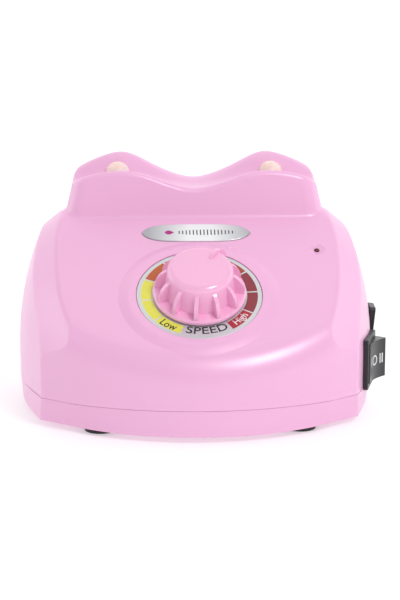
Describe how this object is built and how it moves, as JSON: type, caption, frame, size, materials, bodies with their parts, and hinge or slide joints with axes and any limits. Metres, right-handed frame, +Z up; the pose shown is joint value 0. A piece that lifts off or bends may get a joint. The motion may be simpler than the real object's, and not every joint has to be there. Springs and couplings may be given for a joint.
{
  "type": "electric nail drill control box",
  "caption": "Desktop control box of an electric nail drill, with a saddle-shaped handpiece cradle, finned speed knob on a printed dial, rocker switches and rear sockets.",
  "frame": {"origin": "middle of the footprint, on the table", "axes": "+X to the right with the rocker switches, +Y to the rear, +Z up; the speed dial faces -Y and up"},
  "size_m": [0.1814, 0.1464, 0.1232],
  "materials": {
    "housing": "satin pink moulded plastic",
    "base": "satin pink moulded plastic",
    "knob": "satin pink moulded plastic",
    "dial_face": "printed matt silver",
    "badge": "satin silver",
    "dark_steel": "blackened",
    "plated_steel": "zinc plated",
    "lamp": "clear dark red lens",
    "black_plastic": "black moulded plastic",
    "soft_pad": "translucent cream silicone",
    "switch_case": "black moulded plastic",
    "rocker": "semi-gloss black",
    "screw_steel": "plated",
    "inlet_plastic": "black moulded plastic",
    "pin_metal": "plated brass",
    "fuse_plastic": "semi-gloss black",
    "fuse_glass": "clear",
    "socket_metal": "bright nickel plate",
    "core_steel": "varnished laminations",
    "bobbin": "natural nylon",
    "winding": "varnished copper",
    "board": "green solder mask",
    "capacitor": "dark blue sleeve",
    "sink": "anodised",
    "relay": "blue case",
    "terminal": "green",
    "label_metal": "blank satin label",
    "foot_rubber": "matt black"
  },
  "bodies": {
    "housing": {"upper_shell": "housing", "base_pan": "base", "dial_plate": "dial_face", "badge_plate": "badge", "pot_body": "plated_steel", "pot_washer": "plated_steel", "pot_nut": "plated_steel", "indicator_led": "lamp", "led_holder": "black_plastic", "cradle_pad_left": "soft_pad", "cradle_pad_right": "soft_pad", "direction_switch_body": "switch_case", "power_switch_body": "switch_case", "foot_screws": "screw_steel", "case_screws": "screw_steel", "mains_inlet": "inlet_plastic", "inlet_pins": "pin_metal", "inlet_screws": "screw_steel", "fuse_holder": "black_plastic", "handpiece_socket": "socket_metal", "handpiece_pins": "pin_metal", "handpiece_nut": "plated_steel", "pedal_socket": "black_plastic", "pedal_nut": "plated_steel", "transformer_core": "core_steel", "transformer_bobbin": "bobbin", "primary_winding": "winding", "secondary_winding": "winding", "transformer_strap": "plated_steel", "transformer_screws": "screw_steel", "control_board": "board", "board_screws": "screw_steel", "smoothing_capacitors": "capacitor", "bridge_rectifier": "black_plastic", "heat_sink": "sink", "power_transistor": "black_plastic", "relay": "relay", "terminal_block": "terminal", "rating_plate": "label_metal", "foot_front_left": "foot_rubber", "foot_front_right": "foot_rubber", "foot_rear_left": "foot_rubber", "foot_rear_right": "foot_rubber"},
    "knob": {"speed_knob": "knob", "knob_set_screw": "dark_steel", "pot_shaft": "plated_steel"},
    "direction_paddle": {"direction_rocker": "rocker"},
    "power_paddle": {"power_rocker": "rocker"},
    "fuse_carrier": {"fuse_cap": "fuse_plastic", "fuse_link": "fuse_glass"}
  },
  "joints": [
    {"name": "knob_turn", "type": "hinge", "parent": "housing", "child": "knob", "pos_m": [-0.00203, -0.03451, 0.06129], "axis": [0, -0.5446, 0.8387], "range_deg": [-108, 182]},
    {"name": "direction_rock", "type": "hinge", "parent": "housing", "child": "direction_paddle", "pos_m": [0.08109, -0.01819, 0.0262], "axis": [0, 0, 1], "range_deg": [0, 30]},
    {"name": "power_rock", "type": "hinge", "parent": "housing", "child": "power_paddle", "pos_m": [0.0861, 0.01429, 0.0366], "axis": [0.0616, 0.9981, 0], "range_deg": [0, 20]},
    {"name": "fuse_cap_turn", "type": "hinge", "parent": "housing", "child": "fuse_carrier", "pos_m": [-0.01203, 0.06579, 0.032], "axis": [0, 1, 0], "range_deg": [0, 45]}
  ]
}
